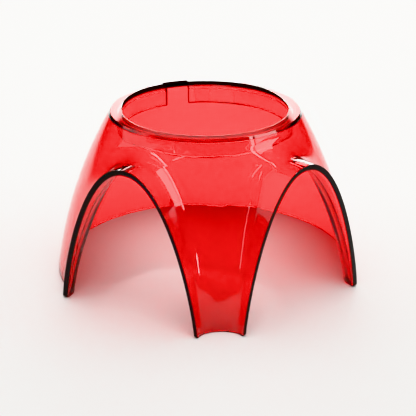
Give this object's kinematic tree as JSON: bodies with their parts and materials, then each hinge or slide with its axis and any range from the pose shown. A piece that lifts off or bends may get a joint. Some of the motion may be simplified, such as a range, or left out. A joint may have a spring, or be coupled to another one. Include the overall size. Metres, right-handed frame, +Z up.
{
  "type": "rat house",
  "caption": "Clear red domed rodent hide with hooded arch doorways, open underneath, and a lift-out collar ring in its round top opening.",
  "frame": {"origin": "centre of the footprint's box, on the floor the house stands on", "axes": "+Z up along the dome's axis, -Y towards the narrow leg between the doorways, +Y towards the closed back, +X towards the doorway on the right as seen from the front"},
  "size_m": [0.16, 0.168, 0.0874],
  "materials": {
    "clear_red_shell": "polished clear red polycarbonate",
    "clear_red_ring": "polished clear red polycarbonate"
  },
  "bodies": {
    "house": {"house_shell": "clear_red_shell"},
    "collar": {"collar_ring": "clear_red_ring"}
  },
  "joints": [
    {"name": "collar_lift", "type": "slide", "parent": "house", "child": "collar", "axis": [0, 0, 1], "range_m": [0, 0.03]}
  ]
}
